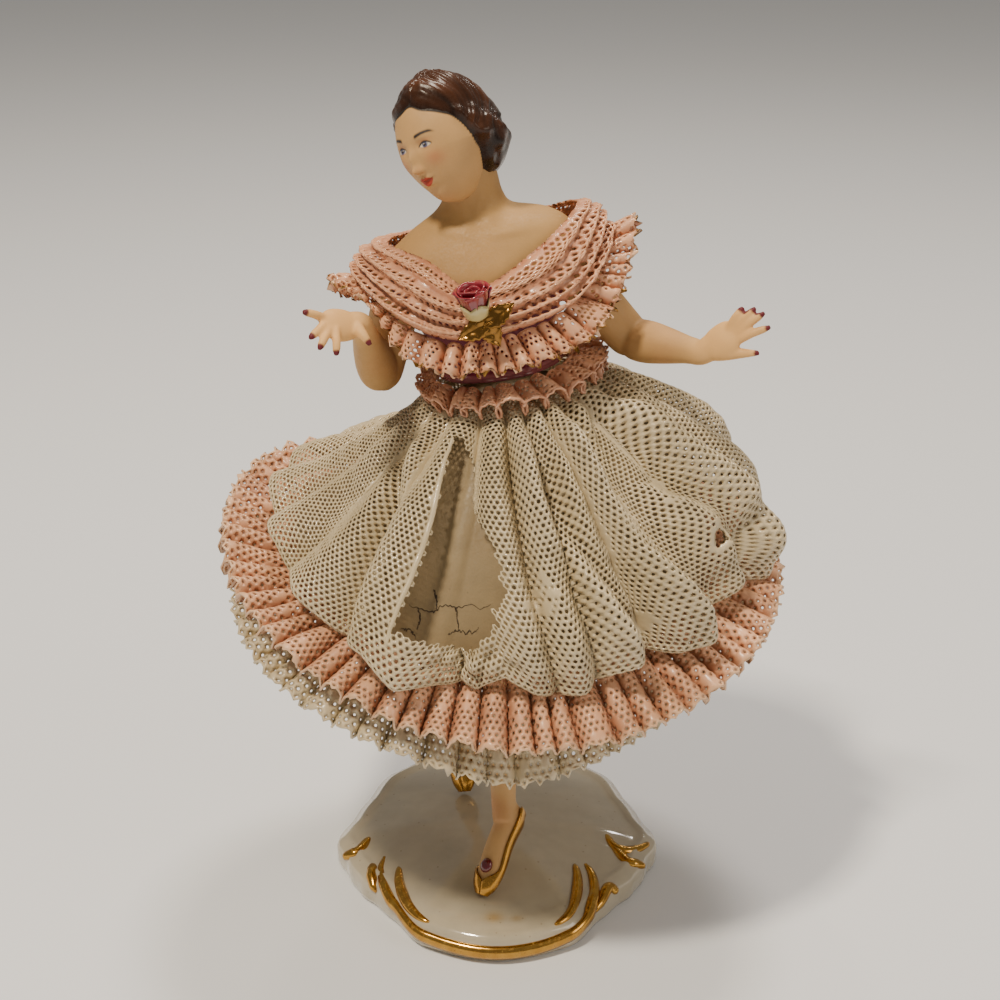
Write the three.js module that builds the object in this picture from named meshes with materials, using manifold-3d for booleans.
// A lace figurine: a porcelain dancer in a net dress on a lobed, gilt-edged base.
// Millimetres, +Z up, the dancer faces -Y. The origin is the centre of the base's flat underside.
import * as THREE from 'three';
import { mergeVertices } from 'three/addons/utils/BufferGeometryUtils.js';
import Module from 'manifold-3d';

const wasm = await Module();
wasm.setup();

// Fits and walls
const FIT_GAP = 0.35;
const FACET_SLACK = 0.25;
const NET_WALL = 0.9;
const PORCELAIN_WALL = 1.2;
const SASH_WALL = 1.1;

// Base
const BASE_HALF_WIDTH = 33.5;
const BASE_RIM_HEIGHT = 5.8;
const BASE_DOME_RISE = 4.8;
const SCROLL_WIDTH = 2.3;
const SCROLL_HEIGHT = 1.0;

// Dancer: STATURE is from the toe she stands on to the crown of her head
const STATURE = 155.7;
const HEAD_HALF_HEIGHT = 11.2;
const NECK_RADIUS = 5.0;
const UPPER_ARM_RADIUS = 4.4;
const WRIST_RADIUS = 2.3;
const FINGER_RADIUS = 0.75;
const ANKLE_RADIUS = 2.9;

// Dress
const WAIST_HALF_WIDTH = 9.4;
const WAIST_HALF_DEPTH = 7.8;
const SKIRT_HALF_WIDTH = 46;
const SKIRT_HALF_DEPTH = 40;
const UNDERSKIRT_LENGTH_SHARE = 0.9;
const VALLEY_DEPTH = 1.5;
const UNDERSKIRT_SIDE_INSET = 3.2;
const HEM_RUFFLE_REACH = 8;
const PETTICOAT_REACH = 5;
const HEM_RUFFLE_PLEATS = 48;
const PETTICOAT_PLEATS = 32;
const WAIST_FRILL_PLEATS = 22;
const BERTHA_RUFFLE_PLEATS = 26;
const ROSE_RADIUS = 3.4;

const FULL_TURN = 360;
const wrapAngle = (degrees) => ((degrees + 1.5 * FULL_TURN) % FULL_TURN) - FULL_TURN / 2;
const rad = THREE.MathUtils.degToRad;
const mix = THREE.MathUtils.lerp;
const bell = (distance, width) => Math.exp(-((distance / width) ** 2));
const range = (count) => [...Array(count).keys()];

// A table's value in a column, between the rows whose first entries lie either side of the key
function lookUp(table, key, column = 1) {
  const next = table.findIndex((row) => row[0] >= key);
  if (next === 0) return table[0][column];
  if (next < 0) return table.at(-1)[column];
  const [low, high] = [table[next - 1], table[next]];
  return mix(low[column], high[column], (key - low[0]) / (high[0] - low[0]));
}

// Triangle lists and solids

function orientedGeometry(points, triangles) {
  const geometry = new THREE.BufferGeometry();
  const signedVolume = triangles.reduce((sum, [a, b, c]) => (
    sum + points[a].dot(new THREE.Vector3().crossVectors(points[b], points[c]))), 0);
  const outward = signedVolume > 0 ? triangles : triangles.map(([a, b, c]) => [a, c, b]);
  const places = points.flatMap((p) => p.toArray());
  geometry.setAttribute('position', new THREE.Float32BufferAttribute(places, 3));
  geometry.setIndex(outward.flat());
  return geometry;
}

// A closed body through rings of equal point count, with a fan over each end
function loft(rings) {
  const sides = rings[0].length;
  const points = rings.flat();
  const triangles = [];
  for (const r of range(rings.length - 1)) {
    for (const s of range(sides)) {
      const [a, b] = [r * sides + s, r * sides + (s + 1) % sides];
      triangles.push([a, b, b + sides], [a, b + sides, a + sides]);
    }
  }
  const lastRing = (rings.length - 1) * sides;
  for (const [ring, first, flip] of [[rings[0], 0, true], [rings.at(-1), lastRing, false]]) {
    const middle = ring.reduce((sum, p) => sum.add(p), new THREE.Vector3()).divideScalar(sides);
    points.push(middle);
    for (const s of range(sides)) {
      const edge = [first + s, first + (s + 1) % sides];
      triangles.push(flip ? [edge[1], edge[0], points.length - 1] : [edge[0], edge[1], points.length - 1]);
    }
  }
  return orientedGeometry(points, triangles);
}

// A sheet with two faces and an edge wall. pair(row, column) gives [outer, inner] points;
// the columns close on themselves, and keep(row, column) says which cells have cloth.
function sheet(rows, columns, pair, keep = () => true) {
  const points = [];
  for (const r of range(rows + 1)) {
    for (const c of range(columns)) points.push(...pair(r, c));
  }
  const at = (r, c, face) => 2 * (r * columns + ((c + columns) % columns)) + face;
  const kept = (r, c) => r >= 0 && r < rows && keep(r, (c + columns) % columns);
  const triangles = [];
  const quad = (a, b, c, d) => triangles.push([a, b, c], [a, c, d]);
  for (const r of range(rows)) {
    for (const c of range(columns)) {
      if (!kept(r, c)) continue;
      const corners = [[r, c], [r, c + 1], [r + 1, c + 1], [r + 1, c]];
      quad(...corners.map(([i, j]) => at(i, j, 0)));
      quad(...[...corners].reverse().map(([i, j]) => at(i, j, 1)));
      const neighbours = [[r - 1, c], [r, c + 1], [r + 1, c], [r, c - 1]];
      for (const side of range(4)) {
        if (kept(...neighbours[side])) continue;
        const [from, to] = [corners[side], corners[(side + 1) % 4]];
        quad(at(...to, 0), at(...from, 0), at(...from, 1), at(...to, 1));
      }
    }
  }
  const used = [...new Set(triangles.flat())].sort((a, b) => a - b);
  const place = new Map(used.map((old, index) => [old, index]));
  const keptPoints = used.map((index) => points[index]);
  return orientedGeometry(keptPoints, triangles.map((t) => t.map((v) => place.get(v))));
}

// A limb: a loft of round or oval sections along a path. Sections are [point, half width, half thickness].
function limb(sections, sides, flatAxis = new THREE.Vector3(0, 0, 1)) {
  const rings = sections.map(([point, halfWidth, halfThickness = halfWidth], index) => {
    const before = sections[Math.max(index - 1, 0)][0];
    const after = sections[Math.min(index + 1, sections.length - 1)][0];
    const along = new THREE.Vector3().subVectors(after, before).normalize();
    const across = new THREE.Vector3().crossVectors(flatAxis, along).normalize();
    const through = new THREE.Vector3().crossVectors(along, across);
    return range(sides).map((s) => {
      const turn = (2 * Math.PI * s) / sides;
      return point.clone()
        .addScaledVector(across, halfWidth * Math.cos(turn))
        .addScaledVector(through, halfThickness * Math.sin(turn));
    });
  });
  return loft(rings);
}

function toSolid(geometry) {
  const merged = mergeVertices(geometry);
  return new wasm.Manifold(new wasm.Mesh({
    numProp: 3,
    vertProperties: Float32Array.from(merged.attributes.position.array),
    triVerts: Uint32Array.from(merged.index.array),
  }));
}

function fromSolid(solid) {
  const mesh = solid.getMesh();
  const geometry = new THREE.BufferGeometry();
  geometry.setAttribute('position', new THREE.BufferAttribute(mesh.vertProperties, 3));
  geometry.setIndex(new THREE.BufferAttribute(mesh.triVerts, 1));
  return geometry;
}

const joined = (geometries) => fromSolid(geometries.map(toSolid).reduce((sum, solid) => sum.add(solid)));

// Closed loops of cloth: control points in order round the body, sampled at a share of a full turn
function closedLoop(points) {
  return new THREE.CatmullRomCurve3(points, true, 'catmullrom', 0.5);
}

// Base: outline radii by the angle from the front, the same on both sides, as shares of the half width
const OUTLINE_ANGLES = [0, 25, 45, 56, 66, 78, 90, 104, 117, 138, 160, 180];
const OUTLINE_SHARES = [1.0, 0.97, 0.878, 0.872, 0.907, 0.937, 1.0, 0.95, 0.955, 1.045, 1.08, 1.08];
// Profile from the underside up over the rim: share of the outline radius, share of the rim height
const RIM_PROFILE = [[0.97, 0], [1.0, 0.2], [1.0, 0.76], [0.95, 1.0]];
const DOME_SHARES = [0.82, 0.62, 0.34];
const BASE_COLUMNS = 38;

function outlineRadius(fromFront) {
  const turn = Math.abs(wrapAngle(fromFront));
  const next = Math.max(1, OUTLINE_ANGLES.findIndex((angle) => angle >= turn));
  const [low, high] = [OUTLINE_ANGLES[next - 1], OUTLINE_ANGLES[next]];
  const share = THREE.MathUtils.smoothstep(turn, low, high);
  return BASE_HALF_WIDTH * mix(OUTLINE_SHARES[next - 1], OUTLINE_SHARES[next], share);
}

function domeHeight(share) {
  const inside = Math.max(0, 1 - (share / RIM_PROFILE.at(-1)[0]) ** 2);
  return BASE_RIM_HEIGHT + BASE_DOME_RISE * inside ** 1.2;
}

// Share above RIM_PROFILE's last entry runs on over the rim and down its face
function baseSurface(fromFront, share) {
  const top = RIM_PROFILE.at(-1);
  let [radiusShare, height] = [share, domeHeight(share)];
  if (share > top[0]) {
    const down = Math.min(1, (share - top[0]) / 0.22);
    radiusShare = mix(top[0], RIM_PROFILE[2][0], Math.min(1, down * 3));
    height = BASE_RIM_HEIGHT * mix(1, RIM_PROFILE[1][1], down ** 1.3);
  }
  const radius = outlineRadius(fromFront) * radiusShare;
  const turn = rad(fromFront);
  return new THREE.Vector3(radius * Math.sin(turn), -radius * Math.cos(turn), height);
}

function groundHeight(x, y) {
  const fromFront = THREE.MathUtils.radToDeg(Math.atan2(x, -y));
  return domeHeight(Math.hypot(x, y) / outlineRadius(fromFront));
}

// Raised scrolls, as [angle from the front, share of the outline radius] along each one
const FRONT_SCROLL = [[-70, 0.8], [-59, 0.92], [-47, 1.01], [-34, 1.07], [-18, 1.11], [0, 1.12],
  [18, 1.11], [32, 1.05], [44, 0.94], [53, 0.82], [57, 0.73]];
const STROKES = [
  [[-59, 0.79], [-49, 0.88], [-39, 0.945], [-25, 0.965]],
  [[52, 0.68], [43, 0.8], [34, 0.88], [21, 0.965]],
  [[-87, 0.8], [-80, 0.93], [-82, 1.06]],
  [[86, 0.69], [78, 0.8], [80, 0.9], [87, 0.96]],
  [[80, 0.75], [72, 0.9], [75, 1.04]],
  [[-69, 0.9], [-64, 0.93], [-56, 1.06]],
  [[40, 1.06], [52, 0.965], [55, 1.05]],
];

const NORMAL_STEP = 0.02;
const SCROLL_STEPS = 15;
const STROKE_STEPS = 4;
const STROKE_SCALE = 0.85;
// Section of a scroll, as shares of its half width and of its height
const SCROLL_SECTION = [[-1, -0.9], [-0.7, 0.7], [0, 1], [0.7, 0.7], [1, -0.9]];

function baseNormal(fromFront, share) {
  const outer = baseSurface(fromFront, share + NORMAL_STEP);
  const inner = baseSurface(fromFront, share - NORMAL_STEP);
  const sideways = baseSurface(fromFront + 1, share).sub(baseSurface(fromFront - 1, share));
  return outer.sub(inner).cross(sideways).normalize();
}

function scroll(path, steps, scale) {
  const flat = new THREE.CatmullRomCurve3(path.map(([turn, share]) => new THREE.Vector3(turn, share, 0)));
  const spots = range(steps + 1).map((i) => flat.getPoint(i / steps));
  const rings = spots.map((spot, index) => {
    const here = baseSurface(spot.x, spot.y);
    const ahead = baseSurface(spots[Math.min(index + 1, steps)].x, spots[Math.min(index + 1, steps)].y);
    const behind = baseSurface(spots[Math.max(index - 1, 0)].x, spots[Math.max(index - 1, 0)].y);
    const along = ahead.sub(behind).normalize();
    const normal = baseNormal(spot.x, spot.y);
    const across = new THREE.Vector3().crossVectors(along, normal).normalize();
    const taper = Math.max(0.35, Math.sin((Math.PI * index) / steps) ** 0.4) * scale;
    return SCROLL_SECTION.map(([side, up]) => here.clone()
      .addScaledVector(across, side * 0.5 * SCROLL_WIDTH * taper)
      .addScaledVector(normal, up * SCROLL_HEIGHT * taper));
  });
  return loft(rings);
}

function makeBase() {
  const profile = [...RIM_PROFILE.map(([share, high]) => [share, high * BASE_RIM_HEIGHT]),
    ...DOME_SHARES.map((share) => [share, domeHeight(share)])];
  const rings = profile.map(([share, height]) => range(BASE_COLUMNS).map((c) => {
    const fromFront = (360 * c) / BASE_COLUMNS;
    const radius = outlineRadius(fromFront) * share;
    return new THREE.Vector3(radius * Math.sin(rad(fromFront)), -radius * Math.cos(rad(fromFront)), height);
  }));
  const body = loft(rings);
  const centre = body.attributes.position.count - 1;
  body.attributes.position.setXYZ(centre - 1, 0, 0, 0);
  body.attributes.position.setXYZ(centre, 0, 0, domeHeight(0));
  const strokes = STROKES.map((path) => scroll(path, STROKE_STEPS, STROKE_SCALE));
  return joined([body, scroll(FRONT_SCROLL, SCROLL_STEPS, 1), ...strokes]);
}

// Dancer: places in millimetres on a pose that stands on TOE and reaches up to CROWN, scaled to STATURE
const TOE = new THREE.Vector3(-3.1, -23.4, 7.4);
const REAR_TOE = new THREE.Vector3(-6.9, 10, 10.2);
const CROWN = new THREE.Vector3(-11.6, -1.2, 163.1);
const POSE_STATURE = CROWN.z - TOE.z;
const SIZE = STATURE / POSE_STATURE;
const toeGround = groundHeight(TOE.x, TOE.y) + FIT_GAP;

function spot(x, y, z) {
  const fromToe = new THREE.Vector3(x, y, z).sub(TOE).multiplyScalar(SIZE);
  return fromToe.add(new THREE.Vector3(TOE.x, TOE.y, toeGround));
}

// Torso sections: centre, half width, half depth, rise from one side to the other
const TORSO_SECTIONS = [
  [[1.6, 0, 86], 10.5, 8.5, 0],
  [[1.4, 0, 96], WAIST_HALF_WIDTH + 1.6, WAIST_HALF_DEPTH + 1, 0.08],
  [[1.0, -0.4, 104], WAIST_HALF_WIDTH + 0.4, WAIST_HALF_DEPTH + 0.2, 0.14],
  [[0.6, -0.6, 109], WAIST_HALF_WIDTH, WAIST_HALF_DEPTH, 0.15],
  [[-0.6, -1, 115], 11, 8.6, 0.16],
  [[-2, -1.7, 122], 14, 10.2, 0.17],
  [[-3, -1.2, 128], 16.8, 10.2, 0.18],
  [[-3.1, 0, 132.5], 17, 9.2, 0.19],
  [[-3.5, 0.8, 136], 13, 7.6, 0.2],
  [[-4.1, 1, 138.6], NECK_RADIUS * 1.44, NECK_RADIUS * 1.12, 0.12],
  [[-4.3, 0.8, 141.5], NECK_RADIUS * 1.06, NECK_RADIUS, 0.05],
  [[-5.2, 0, 146], NECK_RADIUS, NECK_RADIUS, 0],
  [[-6.6, -0.6, 150], NECK_RADIUS * 0.92, NECK_RADIUS * 0.92, 0],
];
const TORSO_SIDES = 12;

function makeTorso() {
  return loft(TORSO_SECTIONS.map(([place, halfWidth, halfDepth, rise]) => range(TORSO_SIDES).map((s) => {
    const turn = (2 * Math.PI * s) / TORSO_SIDES;
    const across = halfWidth * Math.cos(turn);
    return spot(...place).add(new THREE.Vector3(across, halfDepth * Math.sin(turn), across * rise));
  })));
}

// Head: a radius for each direction in the head's own frame, forward, to its left and up
const HEAD_CENTRE = [-9, -1.6, 151.4];
const HEAD_TURN = 38;
const HEAD_ROLL = 27;
const HEAD_NOD = -12;
const HEAD_COLUMNS = 18;
const HEAD_ROWS = 11;
const HAIR_VOLUME = 0.085;
// Forms of the face: how far out, then place and spread sideways, and place and spread upwards
const FACE_FORMS = [[0.15, 0, 0.1, -0.2, 0.13], [-0.035, 0.34, 0.14, -0.02, 0.1],
  [0.05, 0, 0.16, -0.52, 0.08], [0.05, 0, 0.2, -0.85, 0.14]];

// Radius over the head as shares of its half height. Direction d is [forward, left, up].
function headShape(d) {
  const [forward, left, up] = d;
  const side = Math.abs(left);
  const jaw = up < -0.1 ? 1 - 0.24 * Math.min(1, (-up - 0.1) * 1.2) * (1 - 0.5 * forward) : 1;
  const skull = 1 / Math.hypot(forward / (forward > 0 ? 0.84 : 0.9), left / (0.72 * jaw), up);
  const forms = FACE_FORMS.reduce((sum, [out, side0, spread, level, tall]) => (
    sum + out * bell(side - side0, spread) * bell(up - level, tall)), 0);
  return skull + forms * Math.max(0, forward);
}

// Hair lies outside the line over the brow and down in front of the ears, and reaches down the nape
function hairShare(d) {
  const [forward, left, up] = d;
  const peak = 0.12 * (1 - Math.min(1, Math.abs(left - 0.1) * 4));
  const line = 0.6 + peak - 1.15 * Math.max(0, 0.66 - forward);
  const above = THREE.MathUtils.smoothstep(up - line, -0.06, 0.06);
  const nape = THREE.MathUtils.smoothstep(up, -0.9, -0.74);
  return above * (forward > 0.35 ? 1 : nape);
}

function headDirection(turn, rise) {
  return [Math.cos(rise) * Math.cos(turn), Math.cos(rise) * Math.sin(turn), Math.sin(rise)];
}

function makeHead() {
  const frame = new THREE.Matrix4().makeRotationZ(rad(-90 - HEAD_TURN))
    .premultiply(new THREE.Matrix4().makeRotationY(rad(-HEAD_ROLL)))
    .multiply(new THREE.Matrix4().makeRotationY(rad(HEAD_NOD)));
  const rings = range(HEAD_ROWS).map((r) => {
    const rise = -Math.PI / 2 + (Math.PI * (r + 0.7)) / (HEAD_ROWS + 0.4);
    return range(HEAD_COLUMNS).map((c) => {
      const turn = (2 * Math.PI * c) / HEAD_COLUMNS;
      const direction = headDirection(turn, rise);
      const wave = 0.03 * Math.sin(6 * turn + 9 * rise);
      const hair = hairShare(direction) * (HAIR_VOLUME + wave);
      const radius = HEAD_HALF_HEIGHT * SIZE * (headShape(direction) * 0.97 + hair);
      const place = new THREE.Vector3(...direction).multiplyScalar(radius).applyMatrix4(frame);
      return place.add(spot(...HEAD_CENTRE));
    });
  });
  return loft(rings);
}

// Arms: shoulder, elbow and wrist, then the hand's knuckles and the tips from little finger to thumb
const ARMS = [
  {
    shoulder: [-17, 0, 127.6], elbow: [-21.6, -0.6, 107.6], wrist: [-23.7, -16.4, 122.2],
    knuckles: [[-29.6, -20.6, 125.2], [-29.2, -21.6, 124.1], [-28.3, -22.2, 123.2], [-26.8, -22, 122.7]],
    tips: [[-32.9, -23.6, 126.6], [-31.6, -26, 122.6], [-30, -26.8, 120.9], [-27.2, -25.6, 119.4]],
    thumb: [[-24.2, -19.4, 122.4], [-21.6, -22, 120.2]], palmWidth: 3.4, palmFacing: [0.25, -0.75, 0.6],
  },
  {
    shoulder: [10.6, 0, 130.2], elbow: [24.8, 1.4, 114], wrist: [36.2, -12.6, 115.8],
    knuckles: [[40, -14.6, 121.2], [40.9, -15.4, 120.6], [41.6, -16.2, 119.8], [42, -17, 118.8]],
    tips: [[42.8, -15.4, 125], [44.8, -16.4, 125.2], [46.2, -17.4, 124.6], [47.2, -18.6, 122.4]],
    thumb: [[40.4, -16, 116.6], [45.6, -18.4, 117.6]], palmWidth: 3.2, palmFacing: [-0.35, -0.75, 0.55],
  },
];
const FINGER_SIDES = 5;
const ARM_SIDES = 7;

function between(a, b, share) {
  return new THREE.Vector3().lerpVectors(a, b, share);
}

function makeArm({ shoulder, elbow, wrist, knuckles, tips, thumb, palmWidth, palmFacing }) {
  const [top, bend, hand] = [spot(...shoulder), spot(...elbow), spot(...wrist)];
  const finger = FINGER_RADIUS * SIZE;
  const flat = new THREE.Vector3(...palmFacing).normalize();
  const upper = limb([[top, UPPER_ARM_RADIUS], [between(top, bend, 0.35), UPPER_ARM_RADIUS],
    [between(top, bend, 0.75), UPPER_ARM_RADIUS * 0.96], [bend, UPPER_ARM_RADIUS * 0.92],
    [between(top, bend, 1.15), UPPER_ARM_RADIUS * 0.55]].map(([p, r]) => [p, r * SIZE]), ARM_SIDES,
  new THREE.Vector3(0, 1, 0));
  const forearm = limb([[between(bend, hand, -0.1), 0.75 * UPPER_ARM_RADIUS],
    [between(bend, hand, 0.2), 0.86 * UPPER_ARM_RADIUS],
    [between(bend, hand, 0.5), 0.76 * UPPER_ARM_RADIUS],
    [between(bend, hand, 0.8), 1.15 * WRIST_RADIUS], [hand, WRIST_RADIUS]].map(([p, r]) => [p, r * SIZE]),
  ARM_SIDES, flat);
  const [bones, ends] = [knuckles, tips].map((list) => list.map((p) => spot(...p)));
  const middle = between(bones[1], bones[2], 0.5);
  const palm = limb([[between(hand, middle, -0.25), WRIST_RADIUS * 0.9, WRIST_RADIUS * 0.8],
    [between(hand, middle, 0.3), palmWidth * 0.86, 1.7], [between(hand, middle, 0.75), palmWidth, 1.5],
    [between(hand, middle, 1.08), palmWidth * 0.86, 1.1]].map(([p, w, t]) => [p, w * SIZE, t * SIZE]),
  ARM_SIDES, flat);
  const fingers = bones.map((bone, index) => limb([[between(bone, middle, 0.35), finger * 1.15],
    [between(bone, ends[index], 0.3), finger * 1.1], [between(bone, ends[index], 0.8), finger * 0.95],
    [ends[index], finger * 0.55]], FINGER_SIDES, flat));
  const [thumbRoot, thumbTip] = thumb.map((p) => spot(...p));
  const thumbSolid = limb([[between(hand, thumbRoot, 0.4), finger * 1.7], [thumbRoot, finger * 1.5],
    [between(thumbRoot, thumbTip, 0.75), finger * 1.1], [thumbTip, finger * 0.6]], FINGER_SIDES, flat);
  return [upper, forearm, palm, ...fingers, thumbSolid];
}

// Legs: hip, knee and ankle, then the foot from heel to toe with half widths and half heights
const LEGS = [
  { hip: [4.5, -1, 92], knee: [3.6, -8.5, 60], calf: [2.8, -9, 46], ankle: [1.3, -11.2, 27.5],
    heel: [4.2, -12.6, 20.6], instep: [1.6, -15.6, 19], ball: [-1.2, -20.4, 12.2], toe: TOE },
  { hip: [-2, 1, 92], knee: [-4, -1, 60], calf: [-6, 8, 44], ankle: [-8, 18, 28],
    heel: [-7.6, 21.4, 22.6], instep: [-7.8, 17, 21.4], ball: [-7.4, 13.2, 15.4], toe: REAR_TOE },
];
const LEG_SIDES = 7;
const FOOT_UP = new THREE.Vector3(0, -0.5, 0.86);

function makeLeg({ hip, knee, calf, ankle, heel, instep, ball, toe }) {
  const leg = limb([[spot(...hip), 6.4], [spot(...knee), 1.45 * ANKLE_RADIUS],
    [spot(...calf), 1.5 * ANKLE_RADIUS], [spot(...ankle), ANKLE_RADIUS],
    [between(spot(...ankle), spot(...instep), 0.9), ANKLE_RADIUS * 0.8]].map(([p, r]) => [p, r * SIZE]),
  LEG_SIDES, new THREE.Vector3(0, 1, 0));
  const tip = spot(toe.x, toe.y, toe.z);
  tip.z = groundHeight(tip.x, tip.y) + FIT_GAP + 0.55;
  const sole = [[spot(...heel), 1.5, 1.9], [between(spot(...heel), spot(...instep), 0.6), 2.5, 2.7],
    [between(spot(...instep), spot(...ball), 0.4), 2.5, 2.3], [spot(...ball), 2.6, 1.8],
    [between(spot(...ball), tip, 0.65), 2.0, 1.2], [tip, 0.8, 0.5]];
  const foot = limb(sole.map(([p, w, t]) => [p, w * SIZE, t * SIZE]), LEG_SIDES, FOOT_UP);
  return [leg, foot];
}

function makeFigure() {
  return joined([makeTorso(), makeHead(), ...ARMS.flatMap(makeArm), ...LEGS.flatMap(makeLeg)]);
}

// Skirt: angles run from 0 at the dancer's left (+X) through 90 at the back; the front is -90.
// Each hem's height is a level with one and two waves round the skirt.
const SKIRT_CENTRE = [1, 0];
const WAIST_LEVEL = 105.6;
const WAIST_LEAN = 0.16;
const WAIST_EASE_WIDTH = 3.4;
const WAIST_EASE_DEPTH = 3.2;
const NET_HEM = { level: 73.8, right: -4.4, back: 7.4, twice: 4.2 };
const PINK_HEM = { level: 69.4, right: -5, back: 10.4, twice: 5.4 };
const WHITE_HEM = { level: 61.9, right: -3, back: 9.25, twice: 6.1 };
const PLAN_POWER = 2.25;
// How far the bell's side bows out, from 0 for a straight cone to 1 for a quarter round: over all, more on
// the left, and less round one angle, where it sags inwards
const BOW = { all: 0.45, left: 0.37, sag: 0.6, sagAngle: 150, sagWidth: 42 };
const VALLEY_START = 0.3;

function hemHeight(hem, angle) {
  const turn = rad(angle);
  const onceRound = hem.right * Math.cos(turn) + hem.back * Math.sin(turn);
  return hem.level + onceRound + hem.twice * Math.cos(2 * turn);
}

function planRadius(angle, halfWidth, halfDepth) {
  const turn = rad(angle);
  const wide = Math.abs(Math.cos(turn) / halfWidth) ** PLAN_POWER;
  const deep = Math.abs(Math.sin(turn) / halfDepth) ** PLAN_POWER;
  return (wide + deep) ** (-1 / PLAN_POWER);
}

// The net's gathers: angles of each ridge at the waist, half way and at the hem, then its heights there
const RIDGES = [
  [[-94, -89, -80], [1, 3.2, 1.2]], [[-82, -79, -70], [1.2, 4, 1.6]], [[-68, -66, -60], [1.2, 4.2, 1.8]],
  [[-59, -56, -40], [1.2, 5, 4]], [[-45, -38, -23], [0.8, 1.8, 2.2]], [[-31, -22, -8], [1, 3.8, 3]],
  [[-16, -5, 8], [1, 2.6, 2.6]], [[2, 14, 27], [1, 3.2, 3]], [[26, 37, 48], [1, 2.2, 2.8]],
  [[50, 58, 70], [1, 2.2, 2.6]], [[76, 82, 93], [1, 3.6, 3.6]], [[102, 106, 115], [1, 3.6, 3.4]],
  [[128, 130, 137], [1, 2.2, 2.6]], [[152, 152, 158], [1, 1.8, 2.2]], [[176, 176, 178], [1, 1.8, 2.2]],
  [[200, 198, 198], [1, 2, 2]], [[219, 219, 217], [0.8, 1.2, 1.4]], [[240, 243, 238.5], [1.2, 4.6, 4.2]],
];
// Where the cloth billows: middle angle and half width, share of the way down and half height, how far out
const PUFFS = [[-76, 28, 0.82, 0.13, 2.6], [-5, 38, 0.72, 0.2, 3.4], [-114, 9, 1.1, 0.2, 4.2],
  [-8, 13, 0.92, 0.1, 2.6]];
// Angle, then the share of the way down at which the net's hem ends there
const HEM_ENDS = [[-180, 0.97], [-158, 0.96], [-145, 1.02], [-133, 1.02], [-122, 1.03], [-114, 1.08],
  [-107, 1.03], [-100, 1], [-96, 1.03], [-88, 0.97], [-81, 1.02], [-69, 1.03], [-62, 0.99], [-53, 0.95],
  [-44, 1], [-38, 1], [-30, 0.97], [-17, 0.98], [-9, 1.06], [0, 1], [60, 1], [180, 0.97]];

// A value given at the waist, half way and at the hem, at any share of the way down
function curveDown([waist, middle, hem], down) {
  const [near, far] = [1 - down, 2 * down - 1];
  return -waist * near * far + 4 * middle * down * near + hem * down * far;
}

function puffHeight(angle, down) {
  return PUFFS.reduce((sum, [middle, width, level, tall, out]) => (
    sum + out * bell(wrapAngle(angle - middle), width) * bell(down - level, tall)), 0);
}

// The cloth sinks into valleys once it is clear of the waist
function valleyDepth(down) {
  return VALLEY_DEPTH * Math.min(1, down / VALLEY_START);
}

// A point of the bell at a share of the way down, moved out (or in, when negative) across its slope
function skirtPoint(angle, down, out) {
  const turn = rad(angle);
  const sag = BOW.sag * bell(wrapAngle(angle - BOW.sagAngle), BOW.sagWidth);
  const round = BOW.all + BOW.left * Math.cos(turn) - sag;
  const radiusShare = mix(down, Math.sin((down * Math.PI) / 2), round);
  const dropShare = mix(down, 1 - Math.cos((down * Math.PI) / 2), round);
  const [halfWidth, halfDepth] = [WAIST_HALF_WIDTH + WAIST_EASE_WIDTH, WAIST_HALF_DEPTH + WAIST_EASE_DEPTH];
  const waistRadius = planRadius(angle, halfWidth, halfDepth);
  const hemRadius = planRadius(angle, SKIRT_HALF_WIDTH, SKIRT_HALF_DEPTH);
  const radius = mix(waistRadius, hemRadius, radiusShare);
  const level = WAIST_LEVEL + WAIST_LEAN * waistRadius * Math.cos(turn);
  const drop = level - hemHeight(NET_HEM, angle);
  const spread = hemRadius - waistRadius;
  const tangentOut = spread * mix(1, (Math.PI / 2) * Math.cos((down * Math.PI) / 2), round);
  const tangentDown = drop * mix(1, (Math.PI / 2) * Math.sin((down * Math.PI) / 2), round);
  const length = Math.hypot(tangentOut, tangentDown);
  const away = radius + (out * tangentDown) / length;
  const height = level - drop * dropShare + (out * tangentOut) / length;
  return new THREE.Vector3(SKIRT_CENTRE[0] + away * Math.cos(turn), SKIRT_CENTRE[1] + away * Math.sin(turn),
    spot(0, 0, height).z);
}

// The front opening: share of the way down, then its left and right edges
const OPENING = [[0, -117, -107], [0.14, -116.5, -103], [0.41, -113.5, -102], [0.47, -113, -98],
  [0.55, -113, -92], [0.69, -114, -89], [0.8, -115, -92], [0.9, -115.5, -99]];
const OPENING_COLUMNS = 3;
const SKIRT_LEVELS = [0, 0.14, 0.3, 0.46, 0.62, 0.74, 0.84, 1];
const OPENING_END_ROW = 6;
const FLANK_SHARE = 0.6;
const FLANK_WALL = 0.4;
// The folds of the back are plainer: no flanks between ridge and valley
const BACK = [20, 205];

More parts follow.
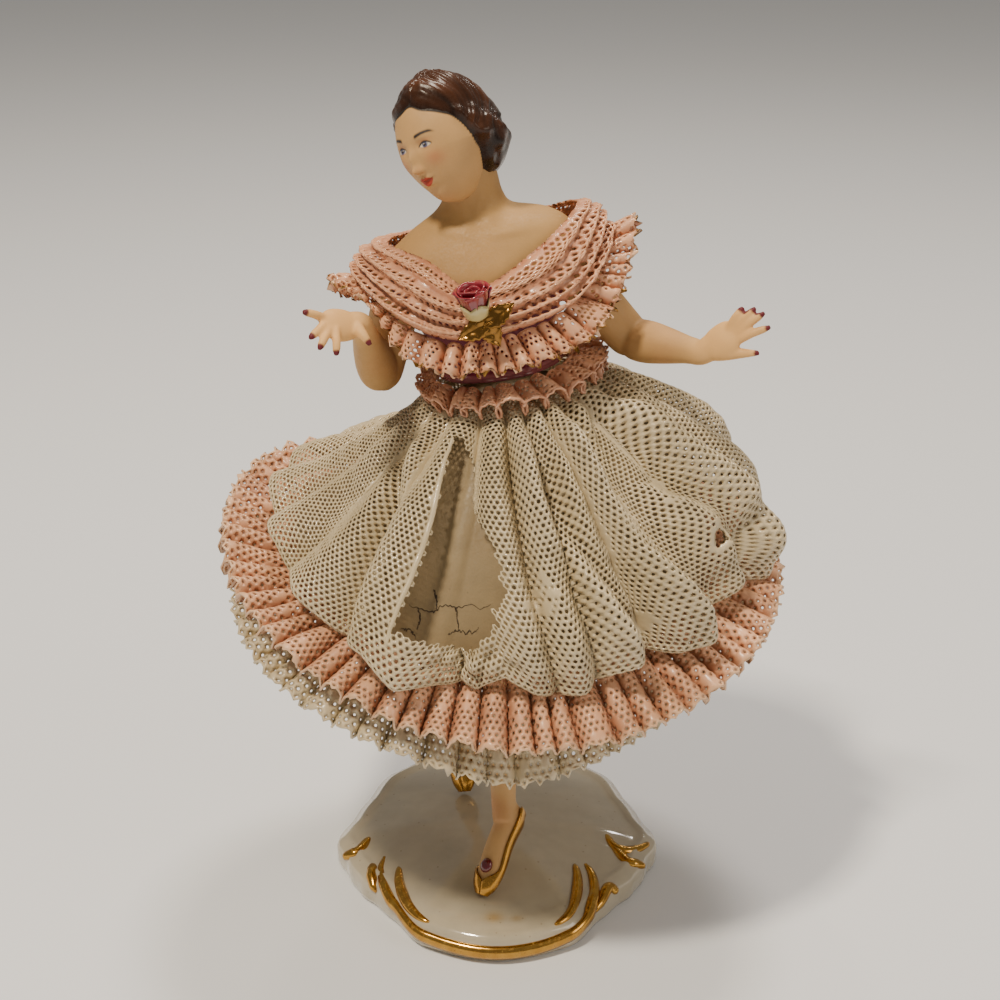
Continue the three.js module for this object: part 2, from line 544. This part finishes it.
// Lines down the net, from the opening's right edge round to its left edge and over the opening.
// Each gives its angle, its height and the wall's extra thickness at a share of the way down.
function netLines() {
  const lines = [(down) => [lookUp(OPENING, down, 2), 0, 0]];
  RIDGES.forEach(([angles, heights], index) => {
    lines.push((down) => [curveDown(angles, down), curveDown(heights, down), 0]);
    if (index === RIDGES.length - 1) return;
    const [nextAngles, nextHeights] = RIDGES[index + 1];
    const between = (down, share) => mix(curveDown(angles, down), curveDown(nextAngles, down), share);
    const flank = (down, share, tops) => (
      [between(down, share), FLANK_SHARE * curveDown(tops, down), FLANK_WALL]);
    const plain = angles[0] > BACK[0] && angles[0] < BACK[1];
    if (!plain) lines.push((down) => flank(down, 0.25, heights));
    lines.push((down) => [between(down, 0.5), -valleyDepth(down), 0]);
    if (!plain) lines.push((down) => flank(down, 0.75, nextHeights));
  });
  for (const c of range(OPENING_COLUMNS)) {
    const share = c / OPENING_COLUMNS;
    const across = (down) => mix(lookUp(OPENING, down, 1), lookUp(OPENING, down, 2), share);
    lines.push((down) => [across(down) + FULL_TURN, 0, 0]);
  }
  return lines;
}

function makeOverskirt() {
  const lines = netLines();
  const pair = (row, column) => {
    const [angle, height, extra] = lines[column](SKIRT_LEVELS[row]);
    const [hemAngle] = lines[column](1);
    const down = SKIRT_LEVELS[row] * lookUp(HEM_ENDS, wrapAngle(hemAngle));
    const out = height + puffHeight(angle, down);
    return [skirtPoint(angle, down, out), skirtPoint(angle, down, out - NET_WALL - extra)];
  };
  const closedColumns = lines.length - OPENING_COLUMNS;
  return sheet(SKIRT_LEVELS.length - 1, lines.length, pair, (row, column) => (
    column < closedColumns || row >= OPENING_END_ROW));
}

// The underskirt lies inside the net's valleys, and falls straighter than the net at the two sides
function underskirtInset(angle, down) {
  return NET_WALL + FIT_GAP + FACET_SLACK + valleyDepth(down)
    + UNDERSKIRT_SIDE_INSET * down * Math.cos(rad(angle)) ** 2;
}

const UNDERSKIRT_TOP = 0.04;
const UNDERSKIRT_ROWS = 4;
const UNDERSKIRT_COLUMNS = 28;

function makeUnderskirt() {
  return sheet(UNDERSKIRT_ROWS, UNDERSKIRT_COLUMNS, (row, column) => {
    const angle = (FULL_TURN * column) / UNDERSKIRT_COLUMNS;
    const down = mix(UNDERSKIRT_TOP, UNDERSKIRT_LENGTH_SHARE, row / UNDERSKIRT_ROWS);
    const inset = underskirtInset(angle, down);
    return [skirtPoint(angle, down, -inset), skirtPoint(angle, down, -inset - PORCELAIN_WALL)];
  });
}

const INNER_SWING = 0.35;
const LOOP_STEP = 0.01;

// A pleated ring between two loops given by a share of a turn; ridges and valleys take turns.
// The pleats are shallower at its inner edge.
function pleatedRing(pleats, inner, outer, depth, wall) {
  const columns = pleats * 2;
  return sheet(1, columns, (row, column) => {
    const share = column / columns;
    const ridge = column % 2 ? 1 : -1;
    const [from, to] = [inner(share), outer(share)];
    const swing = row === 0 ? INNER_SWING : 1;
    const along = outer(share + LOOP_STEP).sub(outer(share - LOOP_STEP));
    const fall = new THREE.Vector3().subVectors(to, from);
    const normal = along.cross(fall).normalize();
    if (normal.z < 0) normal.negate();
    const point = (row === 0 ? from : to).clone().addScaledVector(normal, 0.5 * depth * swing * ridge);
    return [point, point.clone().addScaledVector(normal, -wall)];
  });
}

function hemLoop(hem, halfWidth, halfDepth) {
  return (share) => {
    const angle = FULL_TURN * share;
    const radius = planRadius(angle, halfWidth, halfDepth);
    return new THREE.Vector3(SKIRT_CENTRE[0] + radius * Math.cos(rad(angle)),
      SKIRT_CENTRE[1] + radius * Math.sin(rad(angle)), spot(0, 0, hemHeight(hem, angle)).z);
  };
}

// The start of a flounce: under the underskirt near its edge, so much lower
function flounceStart(down, inset, drop) {
  return (share) => {
    const angle = FULL_TURN * share;
    const edge = skirtPoint(angle, down, -underskirtInset(angle, down) - inset);
    return edge.add(new THREE.Vector3(0, 0, -drop));
  };
}

const FLOUNCE_DEPTH = 1.7;
const FLOUNCE_DEPTH_LESS = 2;
const PETTICOAT_DROP = 7;

// The pink flounce starts under the net, below the underskirt's edge
function makeHemRuffle() {
  const drop = PORCELAIN_WALL + FIT_GAP + 1.3 * FLOUNCE_DEPTH;
  const inner = flounceStart(UNDERSKIRT_LENGTH_SHARE, 0.5 * PORCELAIN_WALL, drop);
  const outer = hemLoop(PINK_HEM, SKIRT_HALF_WIDTH + HEM_RUFFLE_REACH,
    SKIRT_HALF_DEPTH + HEM_RUFFLE_REACH - FLOUNCE_DEPTH_LESS);
  return pleatedRing(HEM_RUFFLE_PLEATS, inner, outer, FLOUNCE_DEPTH, NET_WALL);
}

function makePetticoatRuffle() {
  const inner = flounceStart(UNDERSKIRT_LENGTH_SHARE * 0.97, PORCELAIN_WALL, PETTICOAT_DROP);
  const outer = hemLoop(WHITE_HEM, SKIRT_HALF_WIDTH + PETTICOAT_REACH,
    SKIRT_HALF_DEPTH + PETTICOAT_REACH - FLOUNCE_DEPTH_LESS);
  return pleatedRing(PETTICOAT_PLEATS, inner, outer, FLOUNCE_DEPTH, NET_WALL);
}

// Bodice loops, control points at equal shares of a turn: front, then the dancer's right, back and left
const NECKLINE = closedLoop([[-3.5, -13.2, 127.6], [-12.8, -10.2, 131.8], [-20.4, -1, 133],
  [-13.8, 9.2, 133], [-2.5, 11.2, 134.4], [9.4, 10, 137], [15.2, 1, 139.8],
  [8.6, -9.8, 134.8]].map((p) => spot(...p)));
const COLLAR_EDGE = closedLoop([[-4.5, -17, 119.8], [-16.5, -14.6, 122.2], [-25, -1, 127], [-17.4, 13, 124],
  [-2.5, 15.4, 124.4], [12.6, 13.4, 127.4], [19.4, 0, 133.4], [13, -13.8, 125]].map((p) => spot(...p)));
const RUFFLE_EDGE = closedLoop([[-4.8, -20, 113.2], [-11.4, -18.6, 113.7], [-17.2, -13.8, 115.6],
  [-22.6, -7.8, 122.4], [-31, -2, 125], [-28.6, 9, 122.4], [-22, 16.6, 119.4], [-12.5, 20.4, 117.8],
  [-2, 21.6, 117.6], [8.5, 20.6, 119.6], [17.6, 17, 123.6], [23.8, 10.6, 130.6], [26.2, 2.6, 136.6],
  [24, -6, 127.6], [18.2, -14.4, 119.4], [7.8, -18.6, 114.9]].map((p) => spot(...p)));
const BODY_AXIS = spot(-2.5, -1, 126);
const COLLAR_WALL = 1.3;
const COLLAR_FOLDS = 3;

function outwardFrom(point) {
  return new THREE.Vector3(point.x - BODY_AXIS.x, point.y - BODY_AXIS.y, 0).normalize().add(
    new THREE.Vector3(0, 0, 0.35)).normalize();
}

function makeBertha() {
  const [rows, columns] = [COLLAR_FOLDS * 2, 24];
  return sheet(rows, columns, (row, column) => {
    const [share, down] = [column / columns, row / rows];
    const [top, edge] = [NECKLINE.getPoint(share), COLLAR_EDGE.getPoint(share)];
    const fullness = 0.35 + 0.65 * Math.sin(Math.PI * share) ** 0.3;
    const swell = 1.4 * Math.sin(Math.PI * down) + (row % 2 ? 0.9 * fullness : 0);
    const point = top.clone().lerp(edge, down);
    const outward = outwardFrom(point);
    point.addScaledVector(outward, swell + COLLAR_WALL * 0.5);
    return [point, point.clone().addScaledVector(outward, -COLLAR_WALL - (row % 2 ? 0.5 * fullness : 0))];
  });
}

function makeBerthaRuffle() {
  const tuck = COLLAR_WALL + FIT_GAP + 0.6;
  const drop = new THREE.Vector3(0, 0, -1.9);
  const inner = (share) => {
    const point = COLLAR_EDGE.getPoint((share + 1) % 1);
    return point.addScaledVector(outwardFrom(point), -tuck).add(drop);
  };
  const outer = (share) => RUFFLE_EDGE.getPoint((share + 1) % 1);
  return pleatedRing(BERTHA_RUFFLE_PLEATS, inner, outer, 1.3, NET_WALL);
}

// Sash and the frill under it follow the leaning waist
const SASH_TOP = { place: [-0.4, -1, 114.4], flare: 1.7 };
const SASH_FOOT = { place: [0.7, -0.6, 109.8], flare: 0.7 };
const SASH_COLUMNS = 20;
const FRILL_START = { place: [0.7, -0.6, 109.2], flare: 2.7 };
const FRILL_EDGE = { place: [1.8, -0.4, 108.4], wide: 17.6, wider: 1.3, deep: 17, lean: 0.17, back: 1.4 };
const FRILL_DEPTH = 1.4;

function waistLoop({ place, flare }, grow = 0) {
  return (share) => {
    const turn = 2 * Math.PI * share;
    const across = (WAIST_HALF_WIDTH + FIT_GAP + flare + grow) * Math.cos(turn);
    const through = (WAIST_HALF_DEPTH + FIT_GAP + flare + grow) * Math.sin(turn);
    return spot(...place).add(new THREE.Vector3(across, through, across * WAIST_LEAN));
  };
}

function makeWaistband() {
  return sheet(1, SASH_COLUMNS, (row, column) => {
    const share = column / SASH_COLUMNS;
    const edge = row === 0 ? SASH_TOP : SASH_FOOT;
    return [waistLoop(edge, SASH_WALL)(share), waistLoop(edge)(share)];
  });
}

function frillEdge(share) {
  const turn = 2 * Math.PI * share;
  const across = (FRILL_EDGE.wide + FRILL_EDGE.wider * Math.cos(turn)) * Math.cos(turn);
  const rise = FRILL_EDGE.lean * across + FRILL_EDGE.back * Math.sin(turn);
  return spot(...FRILL_EDGE.place).add(new THREE.Vector3(across, FRILL_EDGE.deep * Math.sin(turn), rise));
}

function makeWaistFrill() {
  return pleatedRing(WAIST_FRILL_PLEATS, waistLoop(FRILL_START), frillEdge, FRILL_DEPTH, NET_WALL);
}

// Rose: a cup of petals seen from its open side, with a lobed rim
const ROSE_CENTRE = [-3.8, -20.4, 128.2];
const ROSE_PROFILE = [[0.3, -1.0], [0.75, -0.75], [1.0, -0.1], [1.04, 0.55], [0.8, 0.5], [0.72, 0.2],
  [0.5, 0.75], [0.3, 0.55]];
const ROSE_TILT = 62;
const ROSE_SIDES = 15;

function makeRose() {
  const turned = new THREE.Matrix4().makeRotationX(rad(ROSE_TILT));
  return loft(ROSE_PROFILE.map(([radius, height], row) => range(ROSE_SIDES).map((c) => {
    const turn = (2 * Math.PI * c) / ROSE_SIDES;
    const petal = 1 + 0.09 * Math.cos(5 * turn + row * 0.9);
    return new THREE.Vector3(radius * petal * Math.cos(turn), radius * petal * Math.sin(turn), height)
      .multiplyScalar(ROSE_RADIUS * SIZE).applyMatrix4(turned).add(spot(...ROSE_CENTRE));
  })));
}

// Leaves: flat pointed ovals that fan out below the rose, thick at the midrib
const LEAF_ROOT = [-1.8, -20.4, 123.4];
const LEAVES = [[-6.4, -20.6, 121.6], [-1.6, -20.6, 119.4], [2.6, -18.6, 124.8]];

function makeLeaves() {
  const root = spot(...LEAF_ROOT);
  return joined(LEAVES.map((tip) => {
    const end = spot(...tip);
    return limb([[between(root, end, -0.12), 0.5, 0.4], [between(root, end, 0.3), 1.5, 0.5],
      [between(root, end, 0.65), 1.6, 0.5], [end, 0.3, 0.2]].map(([p, w, t]) => [p, w * SIZE, t * SIZE]),
    6, new THREE.Vector3(0, -1, 0.3));
  }));
}

function material(color, roughness, metalness = 0) {
  return new THREE.MeshStandardMaterial({ color, roughness, metalness });
}

const whiteGlaze = material(0xe4dfd2, 0.15);
const bisque = material(0xd9bb90, 0.5);
const creamPorcelain = material(0xcfc5aa, 0.4);
const whiteNet = material(0xd6ceb9, 0.45);
const pinkLace = material(0xdf9f84, 0.45);
const purpleGlaze = material(0x5a1f38, 0.25);
const roseGlaze = material(0xa83a50, 0.25);
const gold = material(0xb98a2e, 0.25, 1);

const figurine = new THREE.Group();

function add(name, geometry, surface) {
  const mesh = new THREE.Mesh(geometry, surface);
  mesh.name = name;
  figurine.add(mesh);
}

add('base', makeBase(), whiteGlaze);
add('figure', makeFigure(), bisque);
add('underskirt', makeUnderskirt(), creamPorcelain);
add('overskirt', makeOverskirt(), whiteNet);
add('hem_ruffle', makeHemRuffle(), pinkLace);
add('petticoat_ruffle', makePetticoatRuffle(), whiteNet);
add('waist_frill', makeWaistFrill(), pinkLace);
add('waistband', makeWaistband(), purpleGlaze);
add('bertha', makeBertha(), pinkLace);
add('bertha_ruffle', makeBerthaRuffle(), pinkLace);
add('rose', makeRose(), roseGlaze);
add('rose_leaves', makeLeaves(), gold);

export default figurine;
